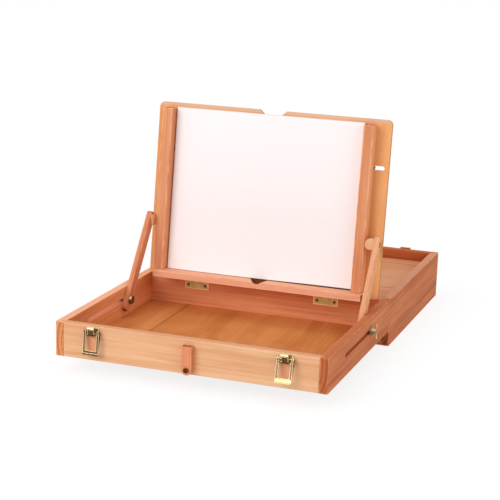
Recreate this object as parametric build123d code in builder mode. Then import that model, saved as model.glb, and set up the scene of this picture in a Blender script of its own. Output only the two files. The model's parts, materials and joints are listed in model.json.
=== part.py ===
from build123d import *
import math
import os

os.makedirs("parts", exist_ok=True)

# Folding painter's box: a deep tray that stands on the table, a shallow tray
# hinged to its rim, and an easel board hinged inside the shallow tray.
# Millimetres. X is across the box, -Y is the painter's side, +Z is up.
# The origin is the centre of the deep tray's underside.

# ---------------------------------------------------------------- dimensions
# Trays
box_width = 405.0
tray_depth = 325.0
wall = 12.5
shallow_height = 50.5
deep_height = 76.0
floor_thickness = 4.0
floor_seat = 6.0            # how far a floor is let into each wall
tongue_length = 5.0         # tongues that join front and rear walls to the sides
tongue_thickness = 4.0
seam_gap = 0.4              # between the two trays' backs when open
rim_gap = 0.4               # between the two rims when closed
corner_round = 2.5

# Running and fitting clearances
pin_clearance = 0.05        # radial, pins and screws in their holes
side_clearance = 0.3        # between parts that move past each other

# Tray hinges
tray_hinge_spacing = 220.0
tray_hinge_length = 50.0
tray_hinge_leaf = 9.0       # width of each leaf on the rim
tray_knuckle_radius = 2.5
tray_pin_radius = 1.2
leaf_thickness = 1.2

# Easel hinges
lean = 7.0                  # degrees that the easel leans back
easel_hinge_spacing = 214.0
easel_hinge_centre = -4.0
easel_hinge_length = 40.0
easel_leaf_drop = 17.5      # leaf below the easel's axis, on the tray wall
easel_leaf_rise = 20.0      # leaf above the axis, on the board's back
easel_knuckle_radius = 2.0
easel_pin_radius = 0.9

# Easel board
board_width = 377.0
board_centre = -1.2
board_length = 273.0
board_thickness = 6.0
board_bottom = 2.6          # board edge above the axis
board_corner = 8.0
notch_centre = -2.0
notch_top = 44.0
notch_bottom = 24.0
notch_depth = 9.0

# Rail slots in the board
rail_slot_height = 6.5
rail_slot_rise = 202.4      # above the axis
rail_slot_inner = 150.0
rail_slot_outer = 181.0

# Ledge and painting panel
ledge_half_length = 169.0
ledge_depth = 37.0
ledge_thickness = 10.0
ledge_notch_centre = 5.0
ledge_notch_width = 30.0
ledge_notch_depth = 3.2
panel_width = 305.0
panel_height = 256.5
panel_thickness = 3.0
panel_side_gap = 1.9

# Rails that hold the panel
rail_width = 16.0
rail_depth = 20.0
rail_top_margin = 8.6       # board above the rails' top ends
rail_left_reach = 7.5       # left rail beyond the ledge's end
rail_bolt_radius = 3.0
rail_bolt_depth = 12.0
knob_radius = 8.0
knob_height = 7.0

# Arms and the blocks that they pivot on
arm_thickness = 7.5
arm_width = 16.5
arm_length = 136.0          # between the arm's two bolts
arm_head = 12.5             # arm's end beyond its upper pivot
arm_foot = 19.0             # arm's end beyond its lower bolt
arm_corner = 6.0
arm_wall_gap = 0.5
arm_block_gap = 0.5
pivot_rise = 90.0           # above the easel's axis
pivot_stand = 30.0          # in front of the board's back
block_height = 17.0
block_depth = 30.0
right_block_thickness = 13.5
left_block_thickness = 4.7
block_round = 7.0           # largest rounding of a block's inner edges
block_flat = 0.7            # least width left flat beside that rounding
pivot_radius = 2.0
pivot_head_radius = 4.4
pivot_head_depth = 2.2

# Slots in the shallow tray's sides, and what runs in them
slot_drop = 20.0            # centre line below the rim
slot_height = 6.5
slot_end_room = 2.0         # past the bolt at each end of its travel
bolt_radius = 2.5
washer_radius = 7.5
washer_thickness = 1.2
inner_nut_radius = 6.5
inner_nut_height = 4.0
wing_hub_radius = 5.0
wing_hub_length = 6.5
wing_span = 22.0
wing_reach = 11.0
wing_thickness = 2.2
wing_tip_round = 1.2
wing_tip = 3.0              # width of each wing's end
wing_root = 3.4             # wings leave the hub's side above its foot
wing_shoulder = 7.0         # where a wing's outer edge turns upright
wing_crotch = 7.0           # lowest point between the wings

# Toggle latches
latch_spacing = 287.0
latch_left_lean = 5.0       # degrees that each lever hangs away from the wall
latch_right_lean = 14.0
latch_sheet = 0.9
latch_width = 24.0
latch_pivot_out = 4.0
latch_pivot_drop = 7.5
latch_pin_radius = 0.8
lever_length = 33.0
lever_window_half = 8.3
lever_window_top = 6.5
lever_window_bottom = 26.5
lever_front = 2.4           # sheet's middle in front of the pivot
lever_flange_back = 2.0
lever_lip_out = 3.2
lever_lip_rise = 1.5        # curl's height at the lever's foot
lever_lip_round = 2.0
lever_foot_margin = 0.5     # sheet's middle above the lever's measured end
latch_base_half = 9.4
latch_base_bottom = 15.0
ear_radius = 2.2            # half height of an ear, and its reach past the pin
hook_half_width = 5.0
hook_pin_radius = 0.9
hook_pin_back = 0.5         # hook's pin behind the lever's pivot, when latched
hook_pin_drop = 4.5
hook_stand = 2.8            # hook plate in front of its pin
hook_neck = 2.6             # where the plate turns upright, above its pin
hook_round = 1.2
hook_reach_in = 1.9         # barb behind its pin
hook_lean = 16.0            # degrees that a loose hook leans out

# Keepers on the deep tray
keeper_half_width = 9.0
keeper_drop = 13.0
keeper_sheet = 1.0
keeper_lip_out = 3.5
keeper_hook_gap = 0.35
keeper_step = 0.9           # below the rim, where the sheet steps out to pass it

# Prop leg on the shallow tray's front wall
leg_centre = 1.7
leg_width = 14.8
leg_thickness = 9.0
leg_pivot_height = 8.7      # above the shallow tray's underside
leg_floor_gap = 0.4         # leg turned down, above the table
leg_screw_radius = 1.8
leg_screw_head_radius = 3.9
leg_screw_head_height = 1.8
leg_screw_length = 10.0     # into the front wall

# Deep tray's fittings
palette_drop = 16.0         # palette's face below the rim
palette_thickness = 5.0
palette_side_gap = 1.0
palette_end_gap = 2.5
palette_hole_radius = 14.0
palette_hole_stretch = 1.3  # longer than it is wide
palette_hole_inset = 46.0
runner_width = 8.0
runner_height = 10.0
divider_thickness = 5.0
long_divider_place = 0.36   # share of the inside depth, from the front wall
short_divider_spacing = 126.0

# ------------------------------------------------------------ derived places
half_width = box_width / 2
inner_half = half_width - wall
rim_z = deep_height
deep_front_y = -tray_depth / 2
deep_back_y = tray_depth / 2
shallow_back_y = deep_front_y - seam_gap
shallow_front_y = shallow_back_y - tray_depth
shallow_base_z = rim_z - shallow_height

tray_axis_y = deep_front_y - seam_gap / 2
tray_axis_z = rim_z + rim_gap / 2

easel_axis_y = shallow_back_y - wall - easel_knuckle_radius - side_clearance
easel_axis_z = rim_z - easel_knuckle_radius - side_clearance
easel_axis = Vector(0, easel_axis_y, easel_axis_z)
lean_rad = math.radians(lean)
easel_up = Vector(0, math.sin(lean_rad), math.cos(lean_rad))
easel_out = Vector(0, -math.cos(lean_rad), math.sin(lean_rad))

ledge_top = board_bottom + ledge_thickness
board_top = board_bottom + board_length
rail_top = board_top - rail_top_margin
rail_left_outer = -(ledge_half_length + rail_left_reach)
rail_left_inner = rail_left_outer + rail_width
panel_left = rail_left_inner + panel_side_gap
panel_right = panel_left + panel_width
rail_right_inner = panel_right + panel_side_gap
rail_right_outer = rail_right_inner + rail_width

arm_outer = inner_half - arm_wall_gap
arm_inner = arm_outer - arm_thickness
block_face = arm_inner - arm_block_gap

# Arm geometry: the upper pivot leans with the board, the bolt stays in its slot.
pivot_rest = easel_axis + easel_up * pivot_rise + easel_out * pivot_stand
slot_z = rim_z - slot_drop
bolt_rest_y = pivot_rest.Y - math.sqrt(arm_length ** 2 - (pivot_rest.Z - slot_z) ** 2)
pivot_folded_y = easel_axis_y - pivot_rise
pivot_folded_z = easel_axis_z - pivot_stand
bolt_folded_y = pivot_folded_y - math.sqrt(arm_length ** 2 - (pivot_folded_z - slot_z) ** 2)
slot_front_y = bolt_folded_y - bolt_radius - slot_end_room
slot_rear_y = bolt_rest_y + bolt_radius + slot_end_room

# A keeper's lip stands above the deep tray's rim, high enough for a hook's barb.
lip_low = rim_gap + 2 * keeper_hook_gap

# The leg pivots low on the front wall and is just long enough to reach the table.
leg_pivot_z = shallow_base_z + leg_pivot_height
leg_length = leg_pivot_z - leg_floor_gap
wing_start = half_width + washer_thickness + 2 * side_clearance

print("tray fold axis", tray_axis_y, tray_axis_z)
print("easel axis", easel_axis_y, easel_axis_z)
print("upper pivot", pivot_rest.Y, pivot_rest.Z)
print("bolt at rest", bolt_rest_y, slot_z, "folded", bolt_folded_y)
print("folded pivot", pivot_folded_y, pivot_folded_z)
print("leg pivot", leg_centre, leg_pivot_z)


# ------------------------------------------------------------------- helpers
def finish(builder, name):
    """Label a finished piece and write it."""
    builder.part.label = name
    export_step(builder.part, f"parts/{name}.step")


def easel_plane(stand=0.0):
    """Plane parallel to the board: X across, Y up the board, Z to the painter."""
    return Plane(origin=easel_axis + easel_out * stand, x_dir=(1, 0, 0), z_dir=easel_out)


def side_plane(x, y, z, tilt=0.0):
    """Cross-section plane on the painter's side of a wall, at x.

    Its X points away from the wall and its Y points up; tilt swings what
    hangs below the origin away from the wall.
    """
    turn = math.radians(tilt)
    return Plane(origin=(x, y, z), x_dir=(0, -math.cos(turn), math.sin(turn)), z_dir=(-1, 0, 0))


def hinge_part(plane, x, length, radius, pin, leaf_start, leaf_end, leaf_low, outer):
    """One leaf of a butt hinge, with its share of three knuckles.

    plane has the hinge's axis at its origin and along its Z; the leaf runs
    along the plane's X from leaf_start to leaf_end, leaf_low above the axis.
    outer gives this leaf the two end knuckles with the pin riveted in them,
    otherwise it has the middle knuckle, which turns on the pin.
    """
    third = length / 3
    gap = side_clearance / 2
    if outer:
        spans = [(-length / 2, -third / 2 - gap), (third / 2 + gap, length / 2)]
    else:
        spans = [(-third / 2 + gap, third / 2 - gap)]
    with BuildPart() as leaf:
        with BuildSketch(plane.offset(x - length / 2)):
            with Locations(((leaf_start + leaf_end) / 2, leaf_low + leaf_thickness / 2)):
                Rectangle(abs(leaf_end - leaf_start), leaf_thickness)
        extrude(amount=length)
        for low, high in spans:
            with BuildSketch(plane.offset(x + low)):
                Circle(radius)
                with Locations((leaf_start / 2, leaf_low + leaf_thickness / 2)):
                    Rectangle(abs(leaf_start), leaf_thickness)
                if not outer:
                    Circle(pin + pin_clearance, mode=Mode.SUBTRACT)
            extrude(amount=high - low)
        if outer:
            with BuildSketch(plane.offset(x - third / 2 - gap)):
                Circle(pin)
            extrude(amount=third + 2 * gap)
    return leaf.part


# --------------------------------------------------------------------- trays
def side_wall(front_y, base_z, height):
    """Right-hand wall of a tray: runs the full depth, grooved for the tongues."""
    with BuildPart() as piece:
        with Locations((half_width, front_y, base_z)):
            Box(wall, tray_depth, height, align=(Align.MAX, Align.MIN, Align.MIN))
        outer = piece.faces().sort_by(Axis.X)[-1].edges()
        fillet(outer.filter_by(Axis.Z), corner_round)
        for wall_y in (front_y + wall / 2, front_y + tray_depth - wall / 2):
            with Locations((inner_half, wall_y, base_z)):
                Box(
                    tongue_length,
                    tongue_thickness,
                    height,
                    align=(Align.MIN, Align.CENTER, Align.MIN),
                    mode=Mode.SUBTRACT,
                )
        with Locations((0, front_y + tray_depth / 2, base_z)):
            Box(
                2 * (inner_half + floor_seat),
                tray_depth - 2 * (wall - floor_seat),
                floor_thickness,
                align=(Align.CENTER, Align.CENTER, Align.MIN),
                mode=Mode.SUBTRACT,
            )
    return piece.part


def cross_wall(outer_y, inward, base_z, height):
    """Wall between the sides, with a tongue on each end; inward is +1 or -1 in Y."""
    middle_y = outer_y + inward * wall / 2
    with BuildPart() as piece:
        with Locations((0, middle_y, base_z)):
            Box(2 * inner_half, wall, height, align=(Align.CENTER, Align.CENTER, Align.MIN))
        with Locations((0, middle_y, base_z)):
            Box(
                2 * (inner_half + tongue_length),
                tongue_thickness,
                height,
                align=(Align.CENTER, Align.CENTER, Align.MIN),
            )
        with Locations((0, outer_y + inward * (wall - floor_seat), base_z)):
            Box(
                2 * (inner_half + tongue_length),
                2 * floor_seat,
                floor_thickness,
                align=(Align.CENTER, Align.MIN if inward > 0 else Align.MAX, Align.MIN),
                mode=Mode.SUBTRACT,
            )
    return piece.part


def tray_floor(front_y, base_z):
    """Plywood floor, flush underneath and let into all four walls."""
    with BuildPart() as piece:
        with Locations((0, front_y + tray_depth / 2, base_z)):
            Box(
                2 * (inner_half + floor_seat),
                tray_depth - 2 * (wall - floor_seat),
                floor_thickness,
                align=(Align.CENTER, Align.CENTER, Align.MIN),
            )
    return piece.part


tray_hinge_x = (-tray_hinge_spacing / 2, tray_hinge_spacing / 2)
easel_hinge_x = (
    easel_hinge_centre - easel_hinge_spacing / 2,
    easel_hinge_centre + easel_hinge_spacing / 2,
)
latch_x = (-latch_spacing / 2, latch_spacing / 2)

# Deep tray: stands on the table.
deep_right_wall = side_wall(deep_front_y, 0, deep_height)
with BuildPart() as deep_tray_right:
    add(deep_right_wall)
finish(deep_tray_right, "deep_tray_right")

with BuildPart() as deep_tray_left:
    mirror(deep_right_wall, about=Plane.YZ)
finish(deep_tray_left, "deep_tray_left")


def hinge_mortise(axis_side):
    """Cuts for the tray hinges: leaves let into the rim, knuckles into the corner."""
    with BuildPart() as cut:
        with Locations(*[(x, tray_axis_y, rim_z) for x in tray_hinge_x]):
            Box(
                tray_hinge_length,
                tray_hinge_leaf,
                leaf_thickness,
                align=(Align.CENTER, Align.MIN if axis_side > 0 else Align.MAX, Align.MAX),
            )
        with Locations(*[(x, tray_axis_y, tray_axis_z) for x in tray_hinge_x]):
            Cylinder(
                tray_knuckle_radius + side_clearance,
                tray_hinge_length,
                rotation=(0, 90, 0),
            )
    return cut.part


with BuildPart() as deep_tray_front:
    add(cross_wall(deep_front_y, 1, 0, deep_height))
    add(hinge_mortise(1), mode=Mode.SUBTRACT)
finish(deep_tray_front, "deep_tray_front")

with BuildPart() as deep_tray_rear:
    add(cross_wall(deep_back_y, -1, 0, deep_height))
finish(deep_tray_rear, "deep_tray_rear")

with BuildPart() as deep_tray_floor:
    add(tray_floor(deep_front_y, 0))
finish(deep_tray_floor, "deep_tray_floor")

# Shallow tray: the same joints, with a slot for the arm's bolt in each side.
with BuildPart() as shallow_tray_right:
    add(side_wall(shallow_front_y, shallow_base_z, shallow_height))
    with BuildSketch(Plane.YZ.offset(inner_half)):
        with Locations(((slot_front_y + slot_rear_y) / 2, slot_z)):
            SlotOverall(slot_rear_y - slot_front_y, slot_height)
    extrude(amount=wall, mode=Mode.SUBTRACT)
finish(shallow_tray_right, "shallow_tray_right")

with BuildPart() as shallow_tray_left:
    mirror(shallow_tray_right.part, about=Plane.YZ)
finish(shallow_tray_left, "shallow_tray_left")

leg_screw_place = Plane(
    origin=(leg_centre, shallow_front_y, leg_pivot_z), x_dir=(1, 0, 0), z_dir=(0, -1, 0)
)
with BuildPart() as shallow_tray_front:
    add(cross_wall(shallow_front_y, 1, shallow_base_z, shallow_height))
    with BuildSketch(leg_screw_place):
        Circle(leg_screw_radius + pin_clearance)
    extrude(amount=-leg_screw_length, mode=Mode.SUBTRACT)
finish(shallow_tray_front, "shallow_tray_front")

with BuildPart() as shallow_tray_rear:
    add(cross_wall(shallow_back_y, -1, shallow_base_z, shallow_height))
    add(hinge_mortise(-1), mode=Mode.SUBTRACT)
finish(shallow_tray_rear, "shallow_tray_rear")

with BuildPart() as shallow_tray_floor:
    add(tray_floor(shallow_front_y, shallow_base_z))
finish(shallow_tray_floor, "shallow_tray_floor")

# --------------------------------------------------------------- tray hinges
# The axis runs along X, just above the seam between the rims.
tray_leaf_plane = Plane(origin=(0, tray_axis_y, tray_axis_z), x_dir=(0, 1, 0), z_dir=(1, 0, 0))
tray_leaf_low = rim_z - leaf_thickness - tray_axis_z
for tray, outer, way in (("deep", True, 1), ("shallow", False, -1)):
    with BuildPart() as tray_leaves:
        for x in tray_hinge_x:
            add(
                hinge_part(
                    tray_leaf_plane,
                    x,
                    tray_hinge_length,
                    tray_knuckle_radius,
                    tray_pin_radius,
                    way * (tray_knuckle_radius + side_clearance),
                    way * tray_hinge_leaf,
                    tray_leaf_low,
                    outer,
                )
            )
    finish(tray_leaves, f"tray_hinge_{tray}_leaves")

# -------------------------------------------------------------- easel hinges
# Fixed leaf down the wall's inner face, moving leaf up the board's back.
wall_leaf_plane = Plane(origin=easel_axis, x_dir=(0, 0, 1), z_dir=(1, 0, 0))
wall_leaf_low = easel_axis_y - (shallow_back_y - wall)
board_leaf_plane = Plane(origin=easel_axis, x_dir=easel_up, z_dir=(1, 0, 0))
with BuildPart() as wall_leaves:
    for x in easel_hinge_x:
        add(
            hinge_part(
                wall_leaf_plane,
                x,
                easel_hinge_length,
                easel_knuckle_radius,
                easel_pin_radius,
                -(easel_knuckle_radius + side_clearance),
                -easel_leaf_drop,
                wall_leaf_low,
                True,
            )
        )
finish(wall_leaves, "easel_hinge_wall_leaves")

with BuildPart() as board_leaves:
    for x in easel_hinge_x:
        add(
            hinge_part(
                board_leaf_plane,
                x,
                easel_hinge_length,
                easel_knuckle_radius,
                easel_pin_radius,
                easel_knuckle_radius + side_clearance,
                easel_leaf_rise,
                -leaf_thickness,
                False,
            )
        )
finish(board_leaves, "easel_hinge_board_leaves")

# --------------------------------------------------------------- easel board
with BuildPart() as easel_board:
    with BuildSketch(easel_plane()):
        with Locations((board_centre, board_bottom + board_length / 2)):
            RectangleRounded(board_width, board_length, board_corner)
        with BuildLine():
            Polyline(
                (notch_centre - notch_top / 2, board_top),
                (notch_centre - notch_bottom / 2, board_top - notch_depth),
                (notch_centre + notch_bottom / 2, board_top - notch_depth),
                (notch_centre + notch_top / 2, board_top),
                close=True,
            )
        make_face(mode=Mode.SUBTRACT)
        slot_centre = (rail_slot_inner + rail_slot_outer) / 2
        with Locations((-slot_centre, rail_slot_rise), (slot_centre, rail_slot_rise)):
            SlotOverall(rail_slot_outer - rail_slot_inner, rail_slot_height, mode=Mode.SUBTRACT)
    extrude(amount=board_thickness)
finish(easel_board, "easel_board")

# Ledge along the board's foot, with a finger scoop in its top.
with BuildPart() as ledge:
    with BuildSketch(easel_plane(board_thickness)):
        with Locations((0, board_bottom + ledge_thickness / 2)):
            Rectangle(2 * ledge_half_length, ledge_thickness)
        with BuildLine():
            ThreePointArc(
                (ledge_notch_centre - ledge_notch_width / 2, ledge_top),
                (ledge_notch_centre, ledge_top - ledge_notch_depth),
                (ledge_notch_centre + ledge_notch_width / 2, ledge_top),
            )
            Line(
                (ledge_notch_centre + ledge_notch_width / 2, ledge_top),
                (ledge_notch_centre - ledge_notch_width / 2, ledge_top),
            )
        make_face(mode=Mode.SUBTRACT)
    extrude(amount=ledge_depth)
finish(ledge, "ledge")

# Painting panel, standing on the ledge between the rails.
with BuildPart() as panel:
    with BuildSketch(easel_plane(board_thickness)):
        with Locations(((panel_left + panel_right) / 2, ledge_top + panel_height / 2)):
            Rectangle(panel_width, panel_height)
    extrude(amount=panel_thickness)
finish(panel, "panel")

# Rails: each is drawn in to the panel's edge and clamped through its slot.
for side, inner, outer_edge in (
    ("left", rail_left_inner, rail_left_outer),
    ("right", rail_right_inner, rail_right_outer),
):
    rail_centre = (inner + outer_edge) / 2
    with BuildPart() as rail:
        with BuildSketch(easel_plane(board_thickness)):
            with Locations((rail_centre, (ledge_top + rail_top) / 2)):
                Rectangle(rail_width, rail_top - ledge_top)
        extrude(amount=rail_depth)
        with BuildSketch(easel_plane(board_thickness)):
            with Locations((rail_centre, rail_slot_rise)):
                Circle(rail_bolt_radius + pin_clearance)
        extrude(amount=rail_bolt_depth, mode=Mode.SUBTRACT)
    finish(rail, f"rail_{side}")

    knob_back = -(side_clearance + knob_height)
    with BuildPart() as rail_bolt:
        with BuildSketch(easel_plane(knob_back)):
            with Locations((rail_centre, rail_slot_rise)):
                Circle(rail_bolt_radius)
        extrude(amount=board_thickness + rail_bolt_depth - knob_back)
    finish(rail_bolt, f"rail_bolt_{side}")

    with BuildPart() as rail_knob:
        with BuildSketch(easel_plane(knob_back)):
            with Locations((rail_centre, rail_slot_rise)):
                Circle(knob_radius)
                Circle(rail_bolt_radius + pin_clearance, mode=Mode.SUBTRACT)
        extrude(amount=knob_height)
    finish(rail_knob, f"rail_knob_{side}")

# ----------------------------------------------------- arms and their pivots
arm_direction = math.degrees(math.atan2(slot_z - pivot_rest.Z, bolt_rest_y - pivot_rest.Y))
for side, way, thickness in (
    ("left", -1, left_block_thickness),
    ("right", 1, right_block_thickness),
):
    # Block screwed to the board's margin: its outer face meets the arm.
    outward = Plane(origin=pivot_rest + Vector(way * block_face, 0, 0), x_dir=easel_up, z_dir=(way, 0, 0))
    stand = pivot_stand - board_thickness
    drop_sign = 1 if outward.y_dir.dot(easel_out) > 0 else -1
    with BuildPart() as pivot_block:
        with BuildSketch(outward):
            with Locations((0, drop_sign * (block_depth / 2 - stand))):
                Rectangle(block_height, block_depth)
        extrude(amount=-thickness)
        inner_face = pivot_block.faces().sort_by(Axis.X)[0 if way > 0 else -1]
        inner_edges = inner_face.edges().filter_by(Axis((0, 0, 0), easel_out))
        fillet(inner_edges, min(block_round, thickness - block_flat))
        with BuildSketch(outward):
            Circle(pivot_radius + pin_clearance)
        extrude(amount=-thickness, mode=Mode.SUBTRACT)
    finish(pivot_block, f"pivot_block_{side}")

    # Arm: a flat bar with rounded ends, turning on the block's screw.
    arm_plane = Plane(
        origin=(way * arm_inner, pivot_rest.Y, pivot_rest.Z), x_dir=(0, 1, 0), z_dir=(way, 0, 0)
    )
    along = math.radians(arm_direction) * way
    run = Vector(math.cos(along), math.sin(along))
    foot = run * arm_length
    middle = run * ((arm_length + arm_foot - arm_head) / 2)
    with BuildPart() as arm:
        with BuildSketch(arm_plane):
            with Locations(Location((middle.X, middle.Y, 0), (0, 0, math.degrees(along)))):
                RectangleRounded(arm_head + arm_length + arm_foot, arm_width, arm_corner)
            Circle(pivot_radius + pin_clearance, mode=Mode.SUBTRACT)
            with Locations((foot.X, foot.Y)):
                Circle(bolt_radius + pin_clearance, mode=Mode.SUBTRACT)
        extrude(amount=arm_thickness)
        with BuildSketch(arm_plane.offset(arm_thickness)):
            Circle(pivot_head_radius + side_clearance)
        extrude(amount=-(pivot_head_depth + side_clearance), mode=Mode.SUBTRACT)
    finish(arm, f"arm_{side}")

    # Screw through the arm into the block, its head sunk below the arm's face.
    with BuildPart() as pivot_screw:
        with BuildSketch(outward):
            Circle(pivot_radius)
        extrude(amount=-thickness)
        extrude(
            pivot_screw.faces().sort_by(Axis.X)[0 if way < 0 else -1],
            amount=arm_block_gap + arm_thickness - pivot_head_depth,
        )
        with BuildSketch(arm_plane.offset(arm_thickness - pivot_head_depth)):
            Circle(pivot_head_radius)
        extrude(amount=pivot_head_depth)
    finish(pivot_screw, f"pivot_screw_{side}")

    # Clamp nut on the arm's inner face; its shank fills the arm's hole.
    foot_plane = Plane(
        origin=(way * arm_inner, bolt_rest_y, slot_z), x_dir=(0, 1, 0), z_dir=(way, 0, 0)
    )
    with BuildPart() as clamp_nut:
        with BuildSketch(foot_plane):
            Circle(bolt_radius)
        extrude(amount=arm_thickness)
        with BuildSketch(foot_plane):
            Circle(inner_nut_radius)
        extrude(amount=-inner_nut_height)
    finish(clamp_nut, f"clamp_nut_{side}")

    # Bolt that slides in the tray's slot, with a washer riveted on it outside
    # and a wing nut beyond.
    bolt_start = arm_outer + side_clearance
    bolt_end = wing_start + wing_hub_length + side_clearance
    bolt_plane = Plane(origin=(0, bolt_rest_y, slot_z), x_dir=(0, 1, 0), z_dir=(way, 0, 0))
    with BuildPart() as slot_bolt:
        with BuildSketch(bolt_plane.offset(bolt_start)):
            Circle(bolt_radius)
        extrude(amount=bolt_end - bolt_start)
        with BuildSketch(bolt_plane.offset(half_width + side_clearance)):
            Circle(washer_radius)
        extrude(amount=washer_thickness)
    finish(slot_bolt, f"slot_bolt_{side}")

    wing_plane = Plane(
        origin=(way * wing_start, bolt_rest_y, slot_z), x_dir=(0, 0, 1), z_dir=(0, way, 0)
    )
    with BuildPart() as wing_nut:
        with BuildSketch(bolt_plane.offset(wing_start)):
            Circle(wing_hub_radius)
        extrude(amount=wing_hub_length)
        with BuildSketch(wing_plane):
            with BuildLine():
                Polyline(
                    (0, wing_root),
                    (wing_hub_radius, wing_root),
                    (wing_span / 2, wing_shoulder),
                    (wing_span / 2, wing_reach),
                    (wing_span / 2 - wing_tip, wing_reach),
                    (0, wing_crotch),
                    close=True,
                )
            make_face()
            fillet(vertices().group_by(Axis.Y)[-1], wing_tip_round)
            mirror(about=Plane.YZ)
        extrude(amount=wing_thickness / 2, both=True)
        with BuildSketch(bolt_plane.offset(wing_start)):
            Circle(bolt_radius + pin_clearance)
        extrude(amount=wing_reach, mode=Mode.SUBTRACT)
    finish(wing_nut, f"wing_nut_{side}")

# ------------------------------------------------------------ toggle latches
# Each has a base plate with two ears, a lever framed round a window, and a
# hook that rides on a pin in the lever and catches the other tray's keeper.
latch_pivot_y = shallow_front_y - latch_pivot_out
latch_pivot_z = rim_z - latch_pivot_drop
lever_half = latch_width / 2
lever_foot = lever_foot_margin - lever_length
for side, x, latch_lean in zip(("left", "right"), latch_x, (latch_left_lean, latch_right_lean)):
    lever_plane = side_plane(x, latch_pivot_y, latch_pivot_z, latch_lean)
    pin_place = lever_plane.from_local_coords((-hook_pin_back, -hook_pin_drop, 0))
    hook_plane = side_plane(x, pin_place.Y, pin_place.Z, -hook_lean)
    print("latch", side, "lever pivot", latch_pivot_y, latch_pivot_z, "hook pin", pin_place)

    # Lever: a channel of sheet with a window and a curled lip to lift it by.
    half_sheet = latch_sheet / 2
    with BuildPart() as lever:
        with BuildSketch(lever_plane):
            with BuildLine():
                FilletPolyline(
                    (lever_front, -ear_radius),
                    (lever_front, lever_foot + lever_lip_rise),
                    (lever_front + lever_lip_out, lever_foot),
                    radius=lever_lip_round,
                )
            trace(line_width=latch_sheet)
        extrude(amount=lever_half, both=True)
        with BuildSketch(lever_plane):
            with Locations((lever_front, -(lever_window_top + lever_window_bottom) / 2)):
                Rectangle(4 * latch_sheet, lever_window_bottom - lever_window_top)
        extrude(amount=lever_window_half, both=True, mode=Mode.SUBTRACT)
        with BuildSketch(lever_plane):
            with Locations((lever_front, -lever_window_top / 2)):
                Rectangle(4 * latch_sheet, lever_window_top)
        extrude(amount=lever_window_half, both=True, mode=Mode.SUBTRACT)
        for flange in (-lever_half, lever_half - latch_sheet):
            with BuildSketch(lever_plane.offset(flange)):
                with BuildLine():
                    Polyline(
                        (-lever_flange_back, 0),
                        (-lever_flange_back, -hook_pin_drop - 2 * hook_pin_radius),
                        (lever_front - half_sheet, -lever_window_bottom),
                        (lever_front + half_sheet, -lever_window_bottom),
                        (lever_front + half_sheet, 0),
                        (ear_radius / 2, ear_radius),
                        (-ear_radius / 2, ear_radius),
                        close=True,
                    )
                make_face()
            extrude(amount=latch_sheet)
        with BuildSketch(lever_plane):
            with Locations((-hook_pin_back, -hook_pin_drop)):
                Circle(hook_pin_radius + pin_clearance)
        extrude(amount=lever_half, both=True, mode=Mode.SUBTRACT)
        with BuildSketch(lever_plane):
            Circle(latch_pin_radius)
        extrude(amount=lever_half - half_sheet, both=True)
    finish(lever, f"latch_lever_{side}")

    with BuildPart() as hook_pin:
        with BuildSketch(hook_plane):
            Circle(hook_pin_radius)
        extrude(amount=lever_half, both=True)
    finish(hook_pin, f"latch_hook_pin_{side}")

    # Hook: sheet rolled round its pin, rising in front of the lever's pin.
    hook_curl = hook_pin_radius + pin_clearance + half_sheet
    hook_top = latch_pivot_drop + hook_pin_drop - keeper_hook_gap + half_sheet
    with BuildPart() as hook:
        with BuildSketch(hook_plane):
            Circle(hook_curl + half_sheet)
            Circle(hook_pin_radius + pin_clearance, mode=Mode.SUBTRACT)
        extrude(amount=hook_half_width, both=True)
        with BuildSketch(hook_plane):
            with BuildLine():
                FilletPolyline(
                    (hook_curl, 0),
                    (hook_stand, hook_neck),
                    (hook_stand, hook_top),
                    (-hook_reach_in, hook_top),
                    radius=hook_round,
                )
            trace(line_width=latch_sheet)
        extrude(amount=hook_half_width, both=True)
    finish(hook, f"latch_hook_{side}")

# Base plates on the wall, with ears that the levers' pins turn in. Each starts
# just below the keeper's lip when the box is closed.
ear_inner = latch_base_half - latch_sheet
plate_top = latch_pivot_drop - (lip_low + keeper_sheet - rim_gap + side_clearance)
plate_bottom = latch_pivot_drop - latch_base_bottom
with BuildPart() as latch_bases:
    for x in latch_x:
        pivot_plane = side_plane(x, latch_pivot_y, latch_pivot_z)
        with BuildSketch(pivot_plane):
            with Locations((-latch_pivot_out, plate_bottom)):
                Rectangle(latch_sheet, plate_top - plate_bottom, align=(Align.MIN, Align.MIN))
        extrude(amount=latch_base_half, both=True)
        for ear in (-latch_base_half, ear_inner):
            with BuildSketch(pivot_plane.offset(ear)):
                with Locations((ear_radius, 0)):
                    Rectangle(
                        latch_pivot_out + ear_radius,
                        2 * ear_radius,
                        align=(Align.MAX, Align.CENTER),
                    )
                chamfer(vertices().group_by(Axis.X)[-1], ear_radius / 2)
                Circle(latch_pin_radius + pin_clearance, mode=Mode.SUBTRACT)
            extrude(amount=latch_sheet)
finish(latch_bases, "latch_bases")

# Keepers on the deep tray: each lip stands just above the rim.
with BuildPart() as keepers:
    for x in latch_x:
        keeper_plane = Plane(origin=(x, deep_back_y, rim_z), x_dir=(0, 1, 0), z_dir=(1, 0, 0))
        with BuildSketch(keeper_plane):
            with BuildLine():
                Polyline(
                    (0, -keeper_drop),
                    (keeper_sheet, -keeper_drop),
                    (keeper_sheet, -2 * keeper_step),
                    (keeper_sheet + side_clearance, -keeper_step),
                    (keeper_sheet + side_clearance, lip_low),
                    (keeper_lip_out, lip_low),
                    (keeper_lip_out, lip_low + keeper_sheet),
                    (side_clearance, lip_low + keeper_sheet),
                    (side_clearance, -keeper_step),
                    (0, -2 * keeper_step),
                    close=True,
                )
            make_face()
        extrude(amount=keeper_half_width, both=True)
finish(keepers, "keepers")

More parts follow.
